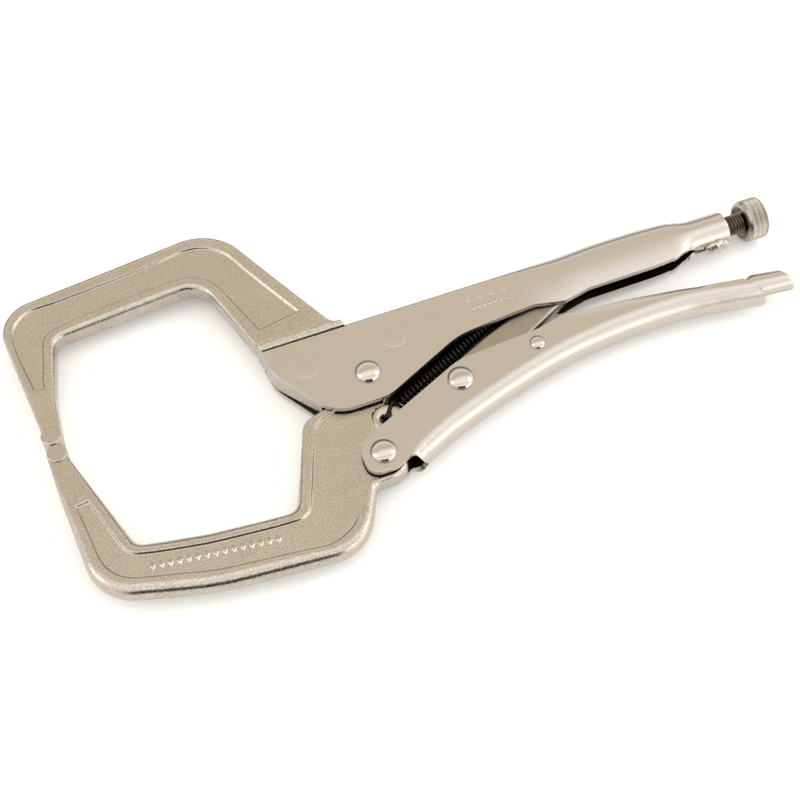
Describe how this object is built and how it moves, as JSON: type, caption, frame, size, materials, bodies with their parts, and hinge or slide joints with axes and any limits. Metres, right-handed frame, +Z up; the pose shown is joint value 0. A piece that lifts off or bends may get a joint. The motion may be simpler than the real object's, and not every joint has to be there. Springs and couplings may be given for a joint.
{
  "type": "locking pliers",
  "caption": "Locking C-clamp pliers with wide hooked jaws, round pads at the tips, a folded sheet handle with an adjusting screw, a toggle lever handle and a release lever.",
  "frame": {"origin": "under the middle of the pliers lying flat, at the lowest rivet head", "axes": "+X along the handles towards the adjusting knob, +Y across the tool towards the fixed jaw, +Z up through the thickness"},
  "size_m": [0.2872, 0.147, 0.018],
  "materials": {
    "plated": "satin nickel plating on folded sheet steel",
    "forged": "satin nickel plating on blasted forged steel",
    "bright": "bright nickel-plated steel",
    "dark_steel": "dark oiled steel",
    "spring_black": "black spring steel"
  },
  "bodies": {
    "upper_handle": {"upper_handle": "plated", "fixed_jaw": "forged", "upper_tip_pad": "bright", "jaw_pivot_rivet": "bright", "tang_rivet_front": "plated", "tang_rivet_rear": "plated", "spring_anchor_pin": "dark_steel", "nose_weld": "bright"},
    "moving_jaw": {"moving_jaw": "forged", "lower_tip_pad": "bright", "return_spring": "spring_black"},
    "lower_handle": {"lower_handle": "plated", "handle_pivot_rivet": "bright", "link_pivot_rivet": "bright", "lever_pivot_rivet": "bright"},
    "toggle_link": {"toggle_link": "forged"},
    "release_lever": {"release_lever": "plated"},
    "adjusting_screw": {"adjusting_screw": "dark_steel"},
    "adjuster_knob": {"adjuster_knob": "bright"}
  },
  "joints": [
    {"name": "jaw_open", "type": "hinge", "parent": "upper_handle", "child": "moving_jaw", "pos_m": [-0.02502, -0.01044, 0.009], "axis": [0, 0, 1], "range_deg": [0, 38], "deforming": ["return_spring"]},
    {"name": "handle_fold", "type": "hinge", "parent": "moving_jaw", "child": "lower_handle", "pos_m": [-0.03142, -0.04304, 0.009], "axis": [0, 0, 1], "range_deg": [-84, 0]},
    {"name": "toggle_swing", "type": "hinge", "parent": "lower_handle", "child": "toggle_link", "pos_m": [0.00478, -0.02504, 0.009], "axis": [0, 0, 1], "range_deg": [0, 84]},
    {"name": "release_lift", "type": "hinge", "parent": "lower_handle", "child": "release_lever", "pos_m": [0.03658, -0.02084, 0.009], "axis": [0, 0, 1], "range_deg": [0, 8]},
    {"name": "screw_travel", "type": "slide", "parent": "upper_handle", "child": "adjusting_screw", "axis": [1, 0, 0], "range_m": [-0.001, 0.02]},
    {"name": "knob_turn", "type": "hinge", "parent": "adjusting_screw", "child": "adjuster_knob", "pos_m": [0.13898, 0.00586, 0.009], "axis": [1, 0, 0], "range_deg": [-290, 5762]}
  ],
  "couplings": [
    {"joint": "handle_fold", "follows": "jaw_open", "ratio": -2.2},
    {"joint": "toggle_swing", "follows": "jaw_open", "ratio": 2.17},
    {"joint": "knob_turn", "follows": "screw_travel", "rad_per_m": 5026.5}
  ]
}
